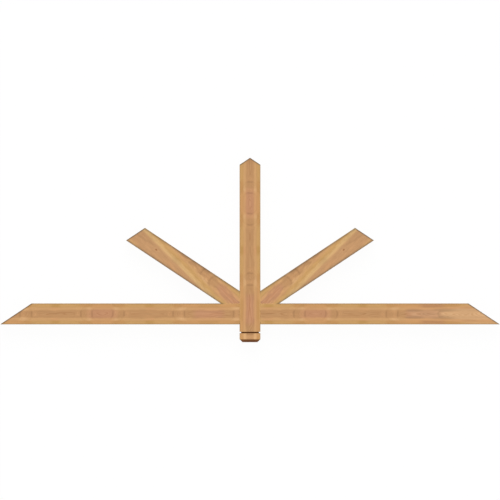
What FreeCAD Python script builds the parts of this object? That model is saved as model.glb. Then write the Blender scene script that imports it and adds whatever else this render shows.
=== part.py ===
"""Gable bracket in dressed timber, for the peak of a gable roof.

A king post crosses a level tie beam in a halving joint, so that the two are flush front and back.
Two struts fan out from the corners between them and stop on the roof slopes. The ends of the tie
beam, the outer ends of the struts and the top of the post are all cut to one pair of roof slopes.
Below the tie beam the post ends in a plain drop with a groove and a chamfer on all four sides.

Frame: X runs along the tie beam and Y climbs to the ridge. Z runs from the back, which is flat on
Z = 0, to the front. The origin is on the back, where the centre lines of post and tie beam cross.
Lengths are in millimetres and angles in degrees.
"""

import FreeCAD
import Part

import math
import os

INCH = 25.4

# The roof that the bracket fits under.
SPAN = 84 * INCH  # between the two tips of the tie beam, along its lower edge
ROOF_RISE = 8.0
ROOF_RUN = 12.0

# Timber sections as dressed: the width shows from the front, the depth runs front to back.
TIE_WIDTH = 3.5 * INCH
POST_WIDTH = 3.5 * INCH
STRUT_WIDTH = 3.5 * INCH
DEPTH = 3.5 * INCH
ARRIS_RADIUS = INCH / 16  # rounding along the long edges of every timber

# The halving joint. The post keeps the front of the crossing and the tie beam keeps the back.
TIE_HOUSING_DEPTH = 1.75 * INCH  # cut into the tie beam from its front
SHOULDER_GAP = 0.2  # between each shoulder of the joint and the timber that lies in it

# The drop of the post below the tie beam.
DROP = 3 * INCH
FOOT_CHAMFER = INCH / 2
GROOVE_WIDTH = INCH / 4
GROOVE_DEPTH = INCH / 4
GROOVE_HEIGHT = 1.5 * INCH  # from the foot up to the lower wall of the groove

ROOF_ANGLE = math.degrees(math.atan2(ROOF_RISE, ROOF_RUN))
STRUT_ANGLE = ROOF_ANGLE  # the struts climb at the pitch of the roof

RIDGE_HEIGHT = SPAN / 2 * ROOF_RISE / ROOF_RUN  # above the lower edge of the tie beam
TIE_BOTTOM = -TIE_WIDTH / 2
TIE_TOP = TIE_WIDTH / 2
RIDGE_Y = TIE_BOTTOM + RIDGE_HEIGHT
FOOT_Y = TIE_BOTTOM - DROP
LAP_Z = DEPTH - TIE_HOUSING_DEPTH  # where post and tie beam meet inside the joint

REACH = 2 * SPAN  # cutting blocks are this large, so they run clear past every timber
LEFT, RIGHT = -1, 1

ORIGIN = FreeCAD.Vector(0, 0, 0)
X_AXIS = FreeCAD.Vector(1, 0, 0)
Z_AXIS = FreeCAD.Vector(0, 0, 1)


def timber(length, width):
    """A dressed timber along +X from the origin, centred on Y, with its back on Z = 0."""
    stock = Part.makeBox(length, width, DEPTH, FreeCAD.Vector(0, -width / 2, 0))
    long_edges = [edge for edge in stock.Edges if abs(edge.tangentAt(0).dot(X_AXIS)) > 0.99]
    return stock.makeFillet(ARRIS_RADIUS, long_edges)


def block(low, high):
    """A cutting block between two opposite corners."""
    size = high - low
    return Part.makeBox(size.x, size.y, size.z, low)


def above_line(point, angle):
    """A cutting block on the upper side of the line through point that climbs at angle."""
    half = REACH / 2
    waste = block(FreeCAD.Vector(-half, 0, -half), FreeCAD.Vector(half, REACH, half))
    waste.rotate(ORIGIN, Z_AXIS, angle)
    waste.translate(point)
    return waste


def roof_waste(side):
    """What lies above the roof slope that comes down to the tie beam's tip on one side."""
    tip = FreeCAD.Vector(side * SPAN / 2, TIE_BOTTOM, 0)
    return above_line(tip, -side * ROOF_ANGLE)


def tie_beam():
    """The level beam, mitred to both roof slopes and housed from the front for the post."""
    beam = timber(SPAN, TIE_WIDTH)
    beam.translate(FreeCAD.Vector(-SPAN / 2, 0, 0))
    shoulder = POST_WIDTH / 2 + SHOULDER_GAP
    housing = block(
        FreeCAD.Vector(-shoulder, -TIE_WIDTH, LAP_Z),
        FreeCAD.Vector(shoulder, TIE_WIDTH, 2 * DEPTH),
    )
    return beam.cut([roof_waste(LEFT), roof_waste(RIGHT), housing])


def groove_ring():
    """What is cut out of the post for its groove, on all four sides."""
    low = FOOT_Y + GROOVE_HEIGHT
    slab = block(
        FreeCAD.Vector(-POST_WIDTH, low, -DEPTH),
        FreeCAD.Vector(POST_WIDTH, low + GROOVE_WIDTH, 2 * DEPTH),
    )
    core_half = POST_WIDTH / 2 - GROOVE_DEPTH
    core = block(
        FreeCAD.Vector(-core_half, low, GROOVE_DEPTH),
        FreeCAD.Vector(core_half, low + GROOVE_WIDTH, DEPTH - GROOVE_DEPTH),
    )
    return slab.cut(core)


def foot_waste():
    """The four blocks that cut the chamfer round the foot of the post."""
    centre = FreeCAD.Vector(0, 0, DEPTH / 2)
    wastes = []
    for quarter, half_section in enumerate((POST_WIDTH / 2, DEPTH / 2) * 2):
        # A block below a 45 degree line, then turned about the post's centre line to its side.
        start = FreeCAD.Vector(half_section - FOOT_CHAMFER, FOOT_Y, 0)
        waste = above_line(start, 180 + 45)
        waste.translate(centre)
        waste.rotate(centre, FreeCAD.Vector(0, 1, 0), 90 * quarter)
        wastes.append(waste)
    return wastes


def king_post():
    """The upright, pointed to the ridge and housed from the back for the tie beam."""
    post = timber(RIDGE_Y - FOOT_Y, POST_WIDTH)
    post.rotate(ORIGIN, Z_AXIS, 90)
    post.translate(FreeCAD.Vector(0, FOOT_Y, 0))
    shoulder = TIE_WIDTH / 2 + SHOULDER_GAP
    housing = block(
        FreeCAD.Vector(-POST_WIDTH, -shoulder, -DEPTH),
        FreeCAD.Vector(POST_WIDTH, shoulder, LAP_Z),
    )
    return post.cut([roof_waste(LEFT), roof_waste(RIGHT), housing, groove_ring(), *foot_waste()])


def strut(side):
    """One strut, from the corner of post and tie beam out to the roof slope on its side."""
    brace = timber(SPAN, STRUT_WIDTH)
    brace.translate(FreeCAD.Vector(-STRUT_WIDTH, 0, 0))  # starts behind the corner, to be cut back
    brace.rotate(ORIGIN, Z_AXIS, 90 - side * (90 - STRUT_ANGLE))
    brace.translate(FreeCAD.Vector(side * POST_WIDTH / 2, TIE_TOP, 0))
    post_side = above_line(FreeCAD.Vector(side * POST_WIDTH / 2, 0, 0), side * 90)
    beam_top = above_line(FreeCAD.Vector(0, TIE_TOP, 0), 180)
    return brace.cut([post_side, beam_top, roof_waste(side)])


def main():
    os.makedirs("parts", exist_ok=True)
    pieces = {
        "tie_beam": tie_beam(),
        "king_post": king_post(),
        "left_strut": strut(LEFT),
        "right_strut": strut(RIGHT),
    }
    for name, shape in pieces.items():
        shape.exportStep(f"parts/{name}.step")
        print(f"{name}: {len(shape.Solids)} solid, {shape.Volume / 1e6:.4f} litres")


main()
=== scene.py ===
"""Looks for the timber gable bracket: planed western red cedar on a white studio floor.

The bracket lies on its back. X runs along the tie beam, Y climbs to the ridge and Z rises to the
front of the bracket, which faces up. Everything is in metres, apart from lists that say mm.
"""

import math
from collections import namedtuple
from functools import partial

import bmesh
import bpy
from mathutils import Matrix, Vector


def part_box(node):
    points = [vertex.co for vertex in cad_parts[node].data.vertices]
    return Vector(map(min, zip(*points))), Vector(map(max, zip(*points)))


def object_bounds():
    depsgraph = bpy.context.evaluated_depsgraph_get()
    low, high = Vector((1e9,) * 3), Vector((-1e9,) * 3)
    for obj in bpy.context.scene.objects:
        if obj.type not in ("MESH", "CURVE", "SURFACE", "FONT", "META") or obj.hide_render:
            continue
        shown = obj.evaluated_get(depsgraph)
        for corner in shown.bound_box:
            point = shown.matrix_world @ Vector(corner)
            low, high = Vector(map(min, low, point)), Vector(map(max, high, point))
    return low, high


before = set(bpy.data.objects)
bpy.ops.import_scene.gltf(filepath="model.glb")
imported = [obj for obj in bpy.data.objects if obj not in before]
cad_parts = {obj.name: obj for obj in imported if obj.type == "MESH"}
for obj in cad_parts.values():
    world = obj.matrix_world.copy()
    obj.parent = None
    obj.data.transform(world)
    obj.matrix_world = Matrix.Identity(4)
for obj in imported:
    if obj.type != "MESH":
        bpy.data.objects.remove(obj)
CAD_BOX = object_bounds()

bl_info = {
    "name": "Cedar gable bracket",
    "version": (1, 0, 0),
    "blender": (4, 5, 0),
    "location": "3D View > Sidebar > Gable bracket",
    "description": "Finishes the timbers of a gable bracket in planed cedar and sets the studio",
    "category": "Object",
}

MM = 0.001


def linear(hex_colour):
    """An sRGB hex colour such as "#C49A6C" as linear red, green and blue."""
    channels = [int(hex_colour[i:i + 2], 16) / 255 for i in (1, 3, 5)]
    return tuple(c / 12.92 if c <= 0.04045 else ((c + 0.055) / 1.055) ** 2.4 for c in channels)


# ---- What the frame says about the bracket ----------------------------------------------------

POST_LOW, POST_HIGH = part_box("king_post")
BEAM_LOW, BEAM_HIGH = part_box("tie_beam")
STRUT_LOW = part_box("right_strut")[0]

MID_DEPTH = (BEAM_LOW.z + BEAM_HIGH.z) / 2
HALF_SECTION = (BEAM_HIGH.y - BEAM_LOW.y) / 2  # all timbers have one square section
RIDGE_Y = POST_HIGH.y
ROOF_ANGLE = math.atan2(RIDGE_Y - BEAM_LOW.y, BEAM_HIGH.x)
CORNER = Vector((STRUT_LOW.x, STRUT_LOW.y, MID_DEPTH))  # where post and beam meet, on mid-depth
# An oval round the place where all four timbers meet, out to where the struts leave the others.
JUNCTION_HIGH = CORNER.y + HALF_SECTION / math.cos(ROOF_ANGLE)
JUNCTION_SIDE = CORNER.x + HALF_SECTION / math.sin(ROOF_ANGLE)
JUNCTION_CENTRE = (0, (BEAM_LOW.y + JUNCTION_HIGH) / 2, 0)
JUNCTION_SCALE = (1 / JUNCTION_SIDE, 2 / (JUNCTION_HIGH - BEAM_LOW.y), 0)


# ---- Settings a user would change ---------------------------------------------------------------

def colour_property(name, description, hex_colour):
    return bpy.props.FloatVectorProperty(
        name=name, description=description, subtype="COLOR", size=3, min=0, max=1,
        default=linear(hex_colour),
    )


def length_property(name, description, metres):
    return bpy.props.FloatProperty(
        name=name, description=description, unit="LENGTH", min=0, default=metres, precision=4,
    )


class CedarSettings(bpy.types.PropertyGroup):
    """Colours and sizes of the planed cedar that all the timbers are made of."""

    heart: colour_property("Heart", "The band down the middle of a face", "#BE9062")
    pink: colour_property("Pink heart", "Pinker lengths of that band", "#C28E68")
    pale: colour_property("Pale strip", "Pale growth on both sides of the heart", "#CFA16D")
    honey: colour_property("Honey strip", "Its warmer lengths", "#D09E6C")
    bright: colour_property("Bright strip", "Its lightest lengths", "#D6A977")
    tan: colour_property("Tan", "Wood along the edges of a face", "#CA9E64")
    rosy: colour_property("Rosy tan", "Its pinker lengths", "#CB9963")
    olive: colour_property("Olive tan", "Its greener lengths", "#BF9457")
    russet: colour_property("Russet", "Its duller, redder lengths", "#C4945C")
    rust: colour_property("Rust", "Its reddest length, beside a heart that runs out", "#BC8A5D")
    straw: colour_property("Straw", "Light streak further out in the log", "#D5AD76")
    bark_side: colour_property("Bark side", "Even wood beyond that streak", "#C5976A")
    dusky: colour_property("Dusky heart", "The heart where it starts to run out", "#C99A72")
    blond: colour_property("Blond", "What shows where it has run out", "#D5A97B")
    pith: colour_property("Pith", "The core of the log", "#94653F")
    latewood: colour_property("Latewood", "What the dark line of a year multiplies", "#EEE4DB")
    knot: colour_property("Knot", "What a knot multiplies", "#CDB8A6")
    # Painted shade along the edges of the faces and of the roof cuts.
    shaded: colour_property("Shaded edge", "What a rubbed edge multiplies", "#B0B8C0")
    end_grain: colour_property("End grain", "What a cut across the grain multiplies", "#C4A88E")
    # Painted shade in the groove and on the chamfer of the foot.
    recess_shade: colour_property("Deep cut", "What the groove and the chamfer multiply", "#A28566")

    band: length_property("Band spacing", "From one dark band of growth to the next", 15 * MM)
    ring: length_property("Ring spacing", "Width of one year's growth", 1.1 * MM)
    fibre: length_property("Fibre width", "Width of the finest streaks", 0.9 * MM)
    grain_slope: bpy.props.FloatProperty(
        name="Grain slope", description="Slope of the struts' grain to their length",
        unit="ROTATION", default=math.pi / 4 - ROOF_ANGLE,
    )
    roughness: bpy.props.FloatProperty(
        name="Roughness", description="Roughness of the planed faces",
        subtype="FACTOR", min=0, max=1, default=0.62,
    )


class StageSettings(bpy.types.PropertyGroup):
    """The white studio round the bracket."""

    margin: length_property("Margin", "Clear floor beyond each tip of the tie beam", 0.65 * MM)
    lens: bpy.props.FloatProperty(
        name="Lens", description="A long lens, so that the bracket shows square on",
        unit="CAMERA", min=50, max=5000, default=600,
    )
    sky: bpy.props.FloatProperty(
        name="Sky", description="Light from all round", min=0, max=2, default=0.66,
    )
    key: bpy.props.FloatProperty(
        name="Key", description="What the key light adds on the front of the bracket",
        min=0, max=2, default=0.34,
    )
    key_height: bpy.props.FloatProperty(
        name="Key height", description="Height of the key light above the floor",
        unit="ROTATION", min=0, max=math.pi / 2, default=math.radians(48),
    )
    key_spread: bpy.props.FloatProperty(
        name="Key spread", description="How wide the key light looks from the bracket",
        unit="ROTATION", min=0, max=math.pi, default=math.radians(40),
    )
    floor: colour_property("Floor", "Pale studio floor", "#F2F2F2")


# ---- Node building ------------------------------------------------------------------------------

SMOOTH = {"interpolation_type": "SMOOTHSTEP"}
MIX_COLOUR = {"output": 2, "data_type": "RGBA", "clamp_factor": True}
DARKEN = {**MIX_COLOUR, "blend_type": "MULTIPLY"}
XYZ = slice(0, 3)


def add_node(tree, kind, inputs=(), output=0, stops=(), **settings):
    """Adds a shader node and returns an output. Inputs go by order, or by number or name."""
    node = tree.nodes.new("ShaderNode" + kind)
    if stops:
        ramp = node.color_ramp
        ramp.interpolation = settings.pop("interpolation", "LINEAR")
        while len(ramp.elements) < len(stops):
            ramp.elements.new(1.0)
        for element, (position, colour) in zip(ramp.elements, stops):
            element.position = position
            element.color = (*colour, 1.0)
    for name, value in settings.items():
        setattr(node, name, value)
    for key, value in inputs.items() if isinstance(inputs, dict) else enumerate(inputs):
        if isinstance(value, bpy.types.NodeSocket):
            tree.links.new(value, node.inputs[key])
        else:
            node.inputs[key].default_value = value
    return node.outputs[output] if node.outputs else None


def new_material(name):
    """An empty node material of that name, and what adds nodes to it."""
    material = bpy.data.materials.new(name)
    material.use_nodes = True
    material.node_tree.nodes.clear()
    return material, partial(add_node, material.node_tree)


# ---- Cedar --------------------------------------------------------------------------------------

# How a timber lies in the bracket and in its log. Angles are about Z, from X.
#   middle, angle   a point on the timber's centre line, and its direction
#   pith, lean      a point on the core of the log, and its direction
#   eye             where along the log the middle of a flame lies
#   edge_tones      tones of the wood at the edges of a face
#   rub, rub_width  how much painted shade darkens the long edges, and how far in
#   mottle, years   how blotchy the wood is, and how strong the dark lines of its years
#   mirrored        both halves of the bracket share one pattern, folded at the centre line
#   runs_out        where along the log the heart starts to leave the face, if it does
#   patches, knots  marks of this timber alone, placed in its log
Timber = namedtuple(
    "Timber",
    "name middle angle pith lean eye edge_tones rub rub_width mottle years"
    " mirrored runs_out patches knots",
    defaults=(1.0, False, None, (), ()),
)
Knot = namedtuple("Knot", "along across radius")
# A place that is lighter or darker, redder or greener, by a share. Its middle and its half size.
Patch = namedtuple("Patch", "along across length width lighter redder", defaults=(0,))

# Where a point of the surface lies in its log.
#   point, radius    the point as seen from the core, and its distance from the core
#   flame            how far along it is from the middle of its flame
#   run              how far past the start of a run-out it is, or None for a heart that stays in
#   waver, blotches  two noises that the growth and its colours share
#   knots            each knot, and how many times as far out as its rim the point is
InLog = namedtuple("InLog", "point radius flame run waver blotches knots")
# How far a point lies from the timber's centre line: across the face it is on, out to that face,
# and up to the roof cut. The last two read half a section on the surface.
InTimber = namedtuple("InTimber", "across out roof")

# The flames of the figure, from the middle of one to halfway to the next. There the pattern turns
# end for end. Each pair is a distance in mm and how many bands of growth lie under the face.
FLAME_LENGTH = 455 * MM
FLAME = (
    (0, 0.36), (25, 0.40), (57, 1.14), (74, 1.38), (104, 2.15), (122, 2.36), (270, 2.36),
    (288, 2.15), (318, 1.40), (328, 1.34), (338, 1.14), (366, 0.42), (400, 0.38), (455, 0.38),
)
MOST_BANDS = 3.0  # a ramp holds 0 to 1, so it holds counts as shares of this
# Marks of a flame by distance from its middle, on both sides of the centre line of a face.
FLAME_MARKS = (
    Patch(0.105, 0, 0.009, 0.009, 0.04), Patch(0.286, 0, 0.010, 0.009, 0.04),
    Patch(0.057, 0.012, 0.012, 0.013, 0.05), Patch(0.335, 0.012, 0.012, 0.013, 0.06),
    Patch(0.196, 0, 0.020, 0.006, -0.05), Patch(0.215, 0, 0.065, 0.006, -0.02),
    Patch(0.197, 0.010, 0.022, 0.006, 0.04),
    Patch(0.398, 0.014, 0.024, 0.007, -0.06), Patch(0.455, 0, 0.070, 0.008, 0.04),
)
# The same for a heart that runs out of the face: a distance from its start, and bands less.
RUN_OUT_LENGTH = 330 * MM
RUN_OUT = (
    (0, 0.0), (35, 0.02), (58, 0.14), (100, 0.20), (118, 0.62), (126, 0.70), (150, 0.77),
    (190, 0.85), (250, 1.02), (330, 1.28),
)
RUN_OUT_MARKS = (
    Patch(0.012, 0.015, 0.050, 0.009, -0.19), Patch(0.075, 0, 0.055, 0.009, -0.17),
    Patch(0.138, 0.017, 0.062, 0.010, -0.15), Patch(0.250, 0.029, 0.045, 0.007, -0.06),
    Patch(0.010, 0.027, 0.070, 0.010, 0.05), Patch(0.235, 0, 0.060, 0.010, -0.03),
)
# How long before its start a run-out begins to show, and how long after it it shows in full.
RUN_OUT_LEAD, RUN_OUT_SETTLE = 40 * MM, 5 * MM

# Zones of colour from the core outwards: where one fades in over the zone inside it, in mm.
HEART_ZONE, STRIP_ZONE, EDGE_ZONE, OUTSIDE_ZONE = (1, 5), (45.9, 49.3), (50.6, 55), (59, 63)
LOG_REACH = 150 * MM  # as far from the core as any timber goes
WIDENING = 3 * MM  # how far the zones have moved out by the end of this stretch of a run-out
WIDENING_START, WIDENING_END = 120 * MM, 220 * MM

# One band of growth, as pairs of a share of its width and a lightness.
PLAIN = 0.65  # the lightness that leaves the wood as it is
BAND = (
    (0, PLAIN), (0.08, 0.84), (0.18, 0.88), (0.32, PLAIN), (0.66, PLAIN), (0.76, 0.20),
    (0.85, 0.0), (0.92, 0.20), (1, PLAIN),
)
BAND_CONTRAST = (0.26, 0.28, 0.30)  # red, green and blue that a full step of lightness adds
BAND_FADE = (45.0 * MM, 47.4 * MM)  # where the bands fade, at the edge of the heart
BAND_BEYOND = 0.25  # what is left of them outside it
STRAIGHT_FOR = 1.1 * MM  # how far the log curves away before a band across the heart bends
# One year's growth in the same way: 1 is its dark line.
YEAR = ((0, 0), (0.45, 0.1), (0.85, 1), (1, 0))
LINES_TAKE = 0.02  # lightness that the dark lines take, given back to the whole

# The core of the log sways, and the growth round it wavers and is blotchy.
SWAY, SWAY_SPACING = 2 * MM, 160 * MM
WAVER_LENGTH, WAVER_WIDTH = 180 * MM, 28 * MM
WAVER_OF_BANDS, WAVER_OF_ZONES = 0.4, 2 * MM
BLOTCH_LENGTH, BLOTCH_WIDTH = 35 * MM, 12 * MM
BLUR_OF_ZONES = 28 * MM
STREAK_LENGTH, STREAK_WIDTH, STREAK_STRENGTH = 280 * MM, 7 * MM, 0.15
# Single fibres are too fine to show, so they are drawn in bundles as wide as the fibre setting.
FIBRE_LENGTH, FIBRE_STRENGTH = 45 * MM, 0.22

# How many times as far out as its rim a patch or a knot starts to fade, and is gone.
PATCH_FADE, KNOT_FADE = (0.3, 1.1), (0.4, 1.1)
KNOT_STRETCH = 1.4  # its length along the grain by its width
KNOT_REACH, KNOT_BULGE = 5, 1.5  # in knots: how far it pushes the growth round it, and by how much

# Edges and cuts, by distance from a timber's centre line: where each starts and where it is full.
# Where the painted light on the arrises round the junction starts and is full.
ARRIS = (HALF_SECTION - 2.5 * MM, HALF_SECTION - 0.5 * MM)
# Where the painted shade along the edges of the roof cuts starts and is full.
ROOF_EDGE = (HALF_SECTION - 7 * MM, HALF_SECTION - 1.5 * MM)
ROOF_CUT = (HALF_SECTION - 1.2 * MM, HALF_SECTION - 0.4 * MM)
# Where the painted shade of what lies below a face, the groove and the foot chamfer, starts and is
# full.
BELOW_FACE = (HALF_SECTION - 0.6 * MM, HALF_SECTION - 1.3 * MM)
FOOT_CUT = (POST_LOW.y + 0.8 * MM, POST_LOW.y + 0.2 * MM)  # by height up the bracket
JUNCTION_RIM = (0.85, 1.0)  # shares of the oval round the junction, over which it fades out
JUNCTION_LIGHT = 0.35  # how much painted light lightens an arris where the timbers meet
CUT_ROUGHNESS = 0.85

# Relief of the planed face, and how high a year's line stands beside a fibre.
RELIEF, RELIEF_STRENGTH, LINE_RELIEF = 0.25 * MM, 0.35, 0.5


def grey(level):
    """One number as a colour or a vector, the same three times."""
    return (level,) * 3


def graded(node, distance, listed, length, **settings):
    """A colour that changes with a distance, from pairs of mm and colour."""
    share = node("Math", [distance, length], operation="DIVIDE")
    stops = [(mm * MM / length, tuple(colour)) for mm, colour in listed]
    return node("ValToRGB", [share], stops=stops, **settings)


def repeated(node, count, listed):
    """A lightness that starts again at each whole number, from pairs of share and lightness."""
    share = node("Math", [count], operation="FRACT")
    return node("ValToRGB", [share], stops=[(stop, grey(level)) for stop, level in listed])


def streaks(node, point, length, width, detail=3.0):
    """Noise drawn out along the grain, about 0.5."""
    squeezed = node(
        "Mapping", {"Vector": point, "Scale": (1 / length, 1 / width, 1 / width)},
        vector_type="POINT",
    )
    return node("TexNoise", {"Vector": squeezed, "Scale": 1, "Detail": detail, "Roughness": 0.55})


def oval(node, point, along, across, length, width):
    """How many times as far out as an oval's rim a point lies."""
    away = node("VectorMath", [point, (along, across, 0)], operation="SUBTRACT")
    scaled = node("VectorMath", [away, (1 / length, 1 / width, 0)], operation="MULTIPLY")
    return node("VectorMath", [scaled], "Value", operation="LENGTH")


def marked(node, point, patches, gain):
    """What a colour is multiplied by, with patches added to it."""
    for patch in patches:
        rim = oval(node, point, patch.along, patch.across, patch.length, patch.width)
        share = node("MapRange", [rim, *PATCH_FADE, 1, 0], **SMOOTH)
        change = (patch.lighter + patch.redder, patch.lighter, patch.lighter - patch.redder)
        gain = node("VectorMath", [share, change, gain], operation="MULTIPLY_ADD")
    return gain


def from_core(node, point, along, knots):
    """How far a point is from the core of the log, which sways and whose growth knots push out."""
    bend = node("Math", [along, SWAY_SPACING], operation="DIVIDE")
    sway = node(
        "TexNoise", {"W": bend, "Scale": 1, "Detail": 2}, "Color", noise_dimensions="1D",
    )
    sway = node("VectorMath", [sway, grey(0.5)], operation="SUBTRACT")
    swayed = node("VectorMath", [sway, (0, SWAY, SWAY), point], operation="MULTIPLY_ADD")
    section = node("VectorMath", [swayed, (0, 1, 1)], operation="MULTIPLY")
    radius = node("VectorMath", [section], "Value", operation="LENGTH")
    for knot, rim in knots:
        bulge = node("MapRange", [rim, 0, KNOT_REACH, KNOT_BULGE * knot.radius, 0], **SMOOTH)
        radius = node("Math", [radius, bulge], operation="ADD")
    return radius


def place_in_log(node, source, timber):
    """Where the points of a timber lie in its log."""
    point = node("Mapping", [source, timber.pith, (0, 0, timber.lean)], vector_type="TEXTURE")
    along = node("SeparateXYZ", [point], XYZ)[0]
    knots = [
        (knot, oval(node, point, knot.along, knot.across, KNOT_STRETCH * knot.radius, knot.radius))
        for knot in timber.knots
    ]
    run, steady = None, along
    if timber.runs_out:
        run = node("Math", [along, timber.runs_out], operation="SUBTRACT")
        steady = node("Math", [along, timber.runs_out], operation="MINIMUM")
    from_eye = node("Math", [steady, timber.eye], operation="SUBTRACT")
    waver = streaks(node, point, WAVER_LENGTH, WAVER_WIDTH, 2)
    return InLog(
        point=point,
        radius=from_core(node, point, along, knots),
        flame=node("Math", [from_eye, FLAME_LENGTH], operation="PINGPONG"),
        run=run,
        waver=node("Math", [waver, 0.5], operation="SUBTRACT"),
        blotches=streaks(node, point, BLOTCH_LENGTH, BLOTCH_WIDTH, 2),
        knots=knots,
    )


def zone_radius(node, timber, log):
    """The distance from the core that chooses a zone's colour, so that the zones blur together."""
    radius = log.radius
    if log.run:
        stretch = [log.run, WIDENING_START, WIDENING_END, 0, -WIDENING]
        widened = node("MapRange", stretch, **SMOOTH)
        radius = node("Math", [radius, widened], operation="ADD")
    radius = node("Math", [log.waver, WAVER_OF_ZONES, radius], operation="MULTIPLY_ADD")
    blur = node("Math", [log.blotches, 0.5], operation="SUBTRACT")
    return node("Math", [blur, timber.mottle * BLUR_OF_ZONES, radius], operation="MULTIPLY_ADD")


def log_colour(node, timber, wood, log):
    """The colour of each zone of the log, from the pith out to the bark, and along it."""
    heart = graded(node, log.flame, [
        (0, wood.pink), (38, wood.pink), (75, wood.heart), (380, wood.heart), (405, wood.pink),
    ], FLAME_LENGTH)
    strip = graded(node, log.flame, [
        (0, wood.honey), (42, wood.honey), (55, wood.bright), (75, wood.pale), (175, wood.pale),
        (195, wood.honey), (212, wood.honey), (230, wood.pale), (312, wood.pale),
        (330, wood.bright), (342, wood.bright), (365, wood.pale), (405, wood.honey),
    ], FLAME_LENGTH)
    edge = graded(node, log.flame, timber.edge_tones, FLAME_LENGTH)
    if log.run:
        open_heart = graded(node, log.run, [
            (0, wood.dusky), (100, wood.dusky), (145, wood.blond), (330, wood.blond),
        ], RUN_OUT_LENGTH)
        open_edge = graded(node, log.run, [
            (0, wood.rosy), (20, wood.rosy), (55, wood.rust), (125, wood.rust),
            (150, wood.russet), (195, wood.russet), (215, wood.tan), (245, wood.pale),
            (330, wood.pale),
        ], RUN_OUT_LENGTH)
        begun = node("MapRange", [log.run, -RUN_OUT_LEAD, RUN_OUT_SETTLE], **SMOOTH)
        heart = node("Mix", {0: begun, 6: heart, 7: open_heart}, **MIX_COLOUR)
        edge = node("Mix", {0: begun, 6: edge, 7: open_edge}, **MIX_COLOUR)
    radius = zone_radius(node, timber, log)
    outside = graded(node, radius, [
        (58, wood.tan), (67, wood.straw), (70, wood.straw), (78, wood.bark_side),
        (125, wood.bark_side), (134, wood.pale),
    ], LOG_REACH)
    colour = (*wood.pith, 1)
    for (inner, outer), shade in (
        (HEART_ZONE, heart), (STRIP_ZONE, strip), (EDGE_ZONE, edge), (OUTSIDE_ZONE, outside),
    ):
        share = node("MapRange", [radius, inner * MM, outer * MM], **SMOOTH)
        colour = node("Mix", {0: share, 6: colour, 7: shade}, **MIX_COLOUR)
    return colour


def bands_grown(node, wood, log):
    """Counts the bands of growth outwards. It is a whole number where a new band starts."""
    sunk = graded(
        node, log.flame, [(mm, grey(count / MOST_BANDS)) for mm, count in FLAME], FLAME_LENGTH,
        interpolation="EASE",
    )
    sunk = node("Math", [sunk, MOST_BANDS], operation="MULTIPLY")
    if log.run:
        less = graded(
            node, log.run, [(mm, grey(count / MOST_BANDS)) for mm, count in RUN_OUT],
            RUN_OUT_LENGTH,
        )
        sunk = node("Math", [less, -MOST_BANDS, sunk], operation="MULTIPLY_ADD")
    outward = node("Math", [log.radius, wood.band], operation="DIVIDE")
    outward = node("Math", [log.waver, WAVER_OF_BANDS, outward], operation="MULTIPLY_ADD")
    grown = node("Math", [outward, sunk], operation="ADD")
    return node("Math", [grown, HALF_SECTION / wood.band], operation="SUBTRACT")


def band_gain(node, wood, log, grown):
    """What the bands of growth, dark at the end of each, multiply the colour by."""
    # Takes the log's curve out of the middle of a face, so that a band crosses the heart straight.
    curved = [log.radius, HALF_SECTION, HALF_SECTION + STRAIGHT_FOR, 0, -STRAIGHT_FOR / wood.band]
    straight = node("MapRange", curved)
    if log.run:
        steady = node("MapRange", [log.run, -RUN_OUT_LEAD, 0, 1, 0])
        straight = node("Math", [straight, steady], operation="MULTIPLY")
    lightness = repeated(node, node("Math", [grown, straight], operation="ADD"), BAND)
    change = node("Math", [lightness, PLAIN], operation="SUBTRACT")
    in_heart = node("MapRange", [log.radius, *BAND_FADE, 1, BAND_BEYOND], **SMOOTH)
    change = node("Math", [change, in_heart], operation="MULTIPLY")
    return node("VectorMath", [change, BAND_CONTRAST, grey(1)], operation="MULTIPLY_ADD")


def grain_gain(node, timber, log, fibres):
    """What streaks, blotches, fibres and marks multiply the colour by."""
    value = 1 + LINES_TAKE
    for noise, strength in (
        (streaks(node, log.point, STREAK_LENGTH, STREAK_WIDTH), STREAK_STRENGTH),
        (log.blotches, timber.mottle),
        (fibres, FIBRE_STRENGTH),
    ):
        value = node("Math", [noise, strength, value], operation="MULTIPLY_ADD")
        value = node("Math", [value, strength / 2], operation="SUBTRACT")
    gain = node("CombineXYZ", [value, value, value])
    gain = marked(node, log.point, timber.patches, gain)
    folded = node("VectorMath", [log.point], operation="ABSOLUTE")
    _, side, deep = node("SeparateXYZ", [folded], XYZ)
    off_centre = node("Math", [side, deep], operation="MINIMUM")
    gain = marked(node, node("CombineXYZ", [log.flame, off_centre]), FLAME_MARKS, gain)
    if log.run:
        gain = marked(node, node("CombineXYZ", [log.run, off_centre]), RUN_OUT_MARKS, gain)
    return gain


def place_in_timber(node, source, folded, timber):
    """How far the points of a timber lie from its centre line."""
    member = node("Mapping", [source, timber.middle, (0, 0, timber.angle)], vector_type="TEXTURE")
    member = node("VectorMath", [member], operation="ABSOLUTE")
    _, side, deep = node("SeparateXYZ", [member], XYZ)
    roof_normal = (math.sin(ROOF_ANGLE), math.cos(ROOF_ANGLE), 0)
    climbed = node("VectorMath", [folded, roof_normal], "Value", operation="DOT_PRODUCT")
    to_roof = RIDGE_Y * math.cos(ROOF_ANGLE) - HALF_SECTION
    return InTimber(
        across=node("Math", [side, deep], operation="MINIMUM"),
        out=node("Math", [side, deep], operation="MAXIMUM"),
        roof=node("Math", [climbed, to_roof], operation="SUBTRACT"),
    )


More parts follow.
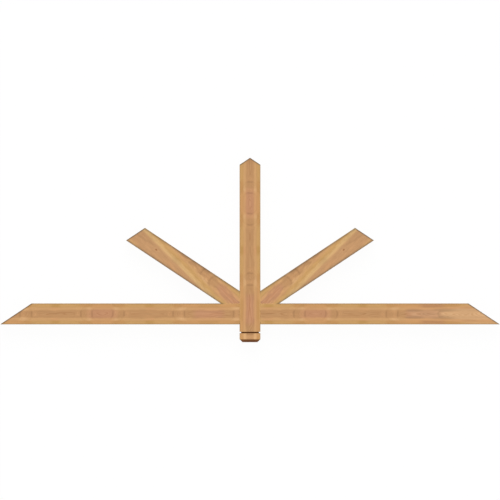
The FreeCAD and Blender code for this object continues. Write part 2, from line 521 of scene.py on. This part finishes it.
def edge_shading(node, timber, wood, place, inside, colour):
    """The colour with painted shade along the edges, and painted light instead of it on the
    arrises where the timbers meet.
    """
    junction = node("VectorMath", [place, JUNCTION_CENTRE], operation="SUBTRACT")
    junction = node("VectorMath", [junction, JUNCTION_SCALE], operation="MULTIPLY")
    from_junction = node("VectorMath", [junction], "Value", operation="LENGTH")
    # Painted light on the arrises round the junction, where the timbers meet.
    arris = node("MapRange", [inside.across, *ARRIS], **SMOOTH)
    junction_light = node("MapRange", [from_junction, *JUNCTION_RIM, JUNCTION_LIGHT, 0], **SMOOTH)
    junction_light = node("Math", [junction_light, arris, 1], operation="MULTIPLY_ADD")
    colour = node("VectorMath", {0: colour, "Scale": junction_light}, operation="SCALE")

    # Painted shade along the long edges, left off where the timbers meet, and along the edges of
    # the roof cuts.
    long_edge = node(
        "MapRange", [inside.across, HALF_SECTION - timber.rub_width, HALF_SECTION], **SMOOTH,
    )
    shaded = node("MapRange", [from_junction, *JUNCTION_RIM, 0, timber.rub], **SMOOTH)
    shaded = node("Math", [shaded, long_edge], operation="MULTIPLY")
    cut_edge = node("Math", [inside.roof, inside.out], operation="MINIMUM")
    cut_edge = node("MapRange", [cut_edge, *ROOF_EDGE], **SMOOTH)
    shaded = node("Math", [shaded, cut_edge], operation="MAXIMUM")
    return node("Mix", {0: shaded, 6: colour, 7: (*wood.shaded, 1)}, **DARKEN)


def cut_shares(node, height, inside):
    """Shares of end grain, at the roof cut and the foot, and of painted shade on what else lies
    below a face.
    """
    end = node("MapRange", [inside.roof, *ROOF_CUT], **SMOOTH)
    foot = node("MapRange", [height, *FOOT_CUT], **SMOOTH)
    end = node("Math", [end, foot], operation="MAXIMUM")
    below = node("MapRange", [inside.out, *BELOW_FACE], **SMOOTH)
    below = node("Math", [below, end], operation="SUBTRACT", use_clamp=True)
    return end, below


def cedar(timber, wood):
    """Western red cedar, planed smooth and left raw.

    To the eye: a pinkish brown heart band down the middle of each face, pale growth on both sides
    of it and tan wood at the edges. Bands of growth close into flames across the heart band. The
    edges carry painted shade, and painted light where the timbers meet; cuts across the grain
    drink dark, and the groove and the chamfer of the foot carry painted shade.
    """
    material, node = new_material(f"{timber.name}_planed_cedar")
    place = node("TexCoord", output="Object")
    x, y, z = node("SeparateXYZ", [place], XYZ)
    folded = node("CombineXYZ", [node("Math", [x], operation="ABSOLUTE"), y, z])
    source = folded if timber.mirrored else place
    log = place_in_log(node, source, timber)
    inside = place_in_timber(node, source, folded, timber)

    # Growth: broad bands, the thin dark lines of the years, and fibres.
    grown = bands_grown(node, wood, log)
    late = repeated(node, node("Math", [grown, wood.band / wood.ring], operation="MULTIPLY"), YEAR)
    line = node("Math", [late, timber.years], operation="MULTIPLY")
    fibres = streaks(node, log.point, FIBRE_LENGTH, wood.fibre)

    # Colour: the zones of the log, then all that makes them lighter or darker.
    colour = log_colour(node, timber, wood, log)
    bands = band_gain(node, wood, log, grown)
    colour = node("VectorMath", [colour, bands], operation="MULTIPLY")
    colour = node("Mix", {0: line, 6: colour, 7: (*wood.latewood, 1)}, **DARKEN)
    grain = grain_gain(node, timber, log, fibres)
    colour = node("VectorMath", [colour, grain], operation="MULTIPLY")
    for _, rim in log.knots:
        share = node("MapRange", [rim, *KNOT_FADE, 1, 0], **SMOOTH)
        colour = node("Mix", {0: share, 6: colour, 7: (*wood.knot, 1)}, **DARKEN)
    # Painted shade along the edges, and painted light round the junction.
    colour = edge_shading(node, timber, wood, place, inside, colour)
    end, below = cut_shares(node, y, inside)
    colour = node("Mix", {0: end, 6: colour, 7: (*wood.end_grain, 1)}, **DARKEN)
    # Painted shade in the groove and on the chamfer of the foot.
    colour = node("Mix", {0: below, 6: colour, 7: (*wood.recess_shade, 1)}, **DARKEN)

    # Surface: planed faces with a faint relief, rougher where a cut opens the grain.
    open_grain = node("Math", [end, below], operation="MAXIMUM")
    roughness = node("MapRange", [open_grain, 0, 1, wood.roughness, CUT_ROUGHNESS])
    height = node("Math", [late, LINE_RELIEF, fibres], operation="MULTIPLY_ADD")
    relief = node("Bump", {"Height": height, "Strength": RELIEF_STRENGTH, "Distance": RELIEF})
    surface = node("BsdfPrincipled", {
        "Base Color": colour, "Roughness": roughness, "Normal": relief, "Specular IOR Level": 0.25,
    })
    node("OutputMaterial", [surface])
    return material


def finish_nodes(names, material):
    """Gives CAD nodes one material."""
    for name in names:
        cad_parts[name].material_slots[0].material = material


# Marks of single timbers, by place in their logs.
DROP_LIGHT = Patch(-0.104, 0, 0.030, 0.10, 0.06)
PEAK_DUSK = Patch(0.655, 0, 0.024, 0.05, -0.06, 0.015)
STRUT_PATCHES = (
    # Along the upper edge.
    Patch(0.080, 0.026, 0.120, 0.014, -0.04), Patch(0.215, 0.006, 0.035, 0.010, -0.07),
    Patch(0.290, -0.008, 0.060, 0.016, -0.06), Patch(0.365, -0.026, 0.055, 0.015, 0.07),
    Patch(0.445, -0.045, 0.014, 0.010, -0.09),
    # Along the middle.
    Patch(0.050, 0, 0.060, 0.005, 0.05), Patch(0.120, -0.015, 0.015, 0.013, -0.10),
    Patch(0.240, -0.054, 0.065, 0.010, 0.04), Patch(0.318, -0.050, 0.032, 0.016, -0.11),
    Patch(0.400, -0.050, 0.080, 0.012, 0.04), Patch(0.495, -0.072, 0.062, 0.022, -0.09),
    # Along the lower edge.
    Patch(0.120, -0.048, 0.040, 0.010, -0.13), Patch(0.180, -0.062, 0.025, 0.010, -0.08),
    Patch(0.245, -0.064, 0.065, 0.009, -0.06), Patch(0.320, -0.079, 0.050, 0.012, 0.03, 0.02),
    Patch(0.333, -0.090, 0.030, 0.010, -0.07),
)
STRUT_KNOT = Knot(0.414, -0.077, 4.5 * MM)


def face_edge_tones(wood):
    """Tones at the edges of the faces of post and beam."""
    return [
        (0, wood.rosy), (38, wood.rosy), (52, wood.russet), (86, wood.russet), (104, wood.tan),
        (175, wood.tan), (190, wood.olive), (210, wood.olive), (228, wood.tan),
        (295, wood.tan), (308, wood.russet), (328, wood.russet), (345, wood.rosy),
        (402, wood.rosy), (420, wood.russet), (455, wood.russet),
    ]


class BRACKET_OT_finish_king_post(bpy.types.Operator):
    """Finish the king post in planed cedar, its heart in the middle of each face"""

    bl_idname = "bracket.finish_king_post"
    bl_label = "Finish king post"

    def execute(self, context):
        wood = context.scene.cedar
        centre = (0, 0, MID_DEPTH)
        post = Timber(
            name="king_post", middle=centre, angle=math.pi / 2, pith=centre, lean=math.pi / 2,
            eye=473 * MM, edge_tones=face_edge_tones(wood), rub=0.45, rub_width=5 * MM,
            mottle=0.10, patches=[DROP_LIGHT, PEAK_DUSK],
        )
        finish_nodes(["king_post"], cedar(post, wood))
        return {"FINISHED"}


class BRACKET_OT_finish_tie_beam(bpy.types.Operator):
    """Finish the tie beam in planed cedar, its heart running out near the right end"""

    bl_idname = "bracket.finish_tie_beam"
    bl_label = "Finish tie beam"

    def execute(self, context):
        wood = context.scene.cedar
        centre = (0, (BEAM_LOW.y + BEAM_HIGH.y) / 2, MID_DEPTH)
        beam = Timber(
            name="tie_beam", middle=centre, angle=0, pith=centre, lean=0, eye=280 * MM,
            edge_tones=face_edge_tones(wood), rub=0.65, rub_width=5.5 * MM, mottle=0.10,
            runs_out=690 * MM,
        )
        finish_nodes(["tie_beam"], cedar(beam, wood))
        return {"FINISHED"}


class BRACKET_OT_finish_struts(bpy.types.Operator):
    """Finish both struts in planed cedar, matched like an opened book, with the grain sloping"""

    bl_idname = "bracket.finish_struts"
    bl_label = "Finish struts"

    def execute(self, context):
        wood = context.scene.cedar
        lean = ROOF_ANGLE + wood.grain_slope
        uphill = Vector((-math.sin(lean), math.cos(lean), 0))
        below_corner = 12 * MM  # how far down from the corner the core of the log runs
        struts = Timber(
            name="strut", middle=CORNER, angle=ROOF_ANGLE, pith=CORNER - below_corner * uphill,
            lean=lean, eye=510 * MM, edge_tones=[(0, wood.tan), (455, wood.tan)], rub=0.9,
            rub_width=11 * MM, mottle=0.38, years=0.7, mirrored=True, patches=STRUT_PATCHES,
            knots=[STRUT_KNOT],
        )
        finish_nodes(["left_strut", "right_strut"], cedar(struts, wood))
        return {"FINISHED"}


# ---- Stage --------------------------------------------------------------------------------------

WHITE = (1, 1, 1, 1)
FLOOR_HALF_SIZE = 20.0
FLOOR_GAP = 0.5 * MM  # below the back of the bracket, so that the two don't share a plane
GLOW_SHARE = 0.95  # of the floor as it is seen; the rest is paper, which takes the shadow
GLOW_STRENGTH = 1.01  # just past white, so that paper and glow come to white together


def seen_directly(node):
    """1 for what the camera, a mirror or glass sees, and 0 for light that falls on the bracket."""
    seen = node("LightPath", output="Is Camera Ray")
    for other in ("Is Glossy Ray", "Is Transmission Ray"):
        seen = node("Math", [seen, node("LightPath", output=other)], operation="MAXIMUM")
    return seen


def floor_material(colour):
    """Matt white studio paper, which shows white and keeps the bracket's shadow."""
    material, node = new_material("studio_paper")
    paper = node("BsdfDiffuse", {"Color": (*colour, 1)})
    glow = node("Emission", {"Color": WHITE, "Strength": GLOW_STRENGTH})
    share = node("Math", [seen_directly(node), GLOW_SHARE], operation="MULTIPLY")
    node("OutputMaterial", [node("MixShader", [share, paper, glow])])
    return material


def build_floor(settings):
    """A floor just under the back of the bracket."""
    mesh = bpy.data.meshes.new("studio_floor")
    shape = bmesh.new()
    bmesh.ops.create_grid(shape, x_segments=1, y_segments=1, size=FLOOR_HALF_SIZE)
    bmesh.ops.translate(shape, verts=shape.verts, vec=(0, 0, BEAM_LOW.z - FLOOR_GAP))
    shape.to_mesh(mesh)
    shape.free()
    mesh.materials.append(floor_material(settings.floor))
    floor = bpy.data.objects.new("studio_floor", mesh)
    bpy.context.scene.collection.objects.link(floor)


def build_sky(settings):
    """An even white world, which shows as plain white."""
    world = bpy.data.worlds.new("studio_sky")
    world.use_nodes = True
    world.node_tree.nodes.clear()
    node = partial(add_node, world.node_tree)
    light = node("Background", {"Color": WHITE, "Strength": settings.sky})
    backdrop = node("Background", {"Color": WHITE, "Strength": 1.0})
    node("OutputWorld", [node("MixShader", [seen_directly(node), light, backdrop])])
    bpy.context.scene.world = world


def build_key_light(settings):
    """A broad soft light from beyond the ridge."""
    lamp = bpy.data.lights.new("key_light", "SUN")
    lamp.energy = settings.key * math.pi / math.sin(settings.key_height)
    lamp.angle = settings.key_spread
    key = bpy.data.objects.new("key_light", lamp)
    key.rotation_euler = (settings.key_height - math.pi / 2, 0, 0)
    bpy.context.scene.collection.objects.link(key)


def build_camera(settings):
    """A camera over the middle of the bracket, looking straight down on its front."""
    low, high = CAD_BOX
    centre = (low + high) / 2
    view_width = high.x - low.x + 2 * settings.margin
    data = bpy.data.cameras.new("camera")
    data.lens = settings.lens
    distance = view_width * data.lens / data.sensor_width
    data.clip_end = 4 * distance
    camera = bpy.data.objects.new("camera", data)
    camera.location = (centre.x, centre.y, high.z + distance)
    bpy.context.scene.collection.objects.link(camera)
    bpy.context.scene.camera = camera


class BRACKET_OT_build_stage(bpy.types.Operator):
    """Set the white floor, the soft light and the camera over the bracket"""

    bl_idname = "bracket.build_stage"
    bl_label = "Build stage"

    def execute(self, context):
        settings = context.scene.stage
        build_floor(settings)
        build_sky(settings)
        build_key_light(settings)
        build_camera(settings)
        context.scene.view_settings.view_transform = "Standard"
        return {"FINISHED"}


# ---- Panel and registration ---------------------------------------------------------------------

class BRACKET_PT_panel(bpy.types.Panel):
    """Steps and settings of the gable bracket"""

    bl_idname = "BRACKET_PT_panel"
    bl_label = "Gable bracket"
    bl_space_type = "VIEW_3D"
    bl_region_type = "UI"
    bl_category = "Gable bracket"

    def draw(self, context):
        for operator in OPERATORS:
            self.layout.operator(operator.bl_idname)
        for settings in (context.scene.cedar, context.scene.stage):
            box = self.layout.box()
            for name in settings.__annotations__:
                box.prop(settings, name)


OPERATORS = (
    BRACKET_OT_finish_king_post,
    BRACKET_OT_finish_tie_beam,
    BRACKET_OT_finish_struts,
    BRACKET_OT_build_stage,
)
CLASSES = (CedarSettings, StageSettings, *OPERATORS, BRACKET_PT_panel)


def register():
    for cls in CLASSES:
        bpy.utils.register_class(cls)
    bpy.types.Scene.cedar = bpy.props.PointerProperty(type=CedarSettings)
    bpy.types.Scene.stage = bpy.props.PointerProperty(type=StageSettings)


def unregister():
    del bpy.types.Scene.stage
    del bpy.types.Scene.cedar
    for cls in reversed(CLASSES):
        bpy.utils.unregister_class(cls)


def main():
    register()
    bpy.ops.bracket.finish_king_post()
    bpy.ops.bracket.finish_tie_beam()
    bpy.ops.bracket.finish_struts()
    bpy.ops.bracket.build_stage()


if __name__ == "__main__":
    main()
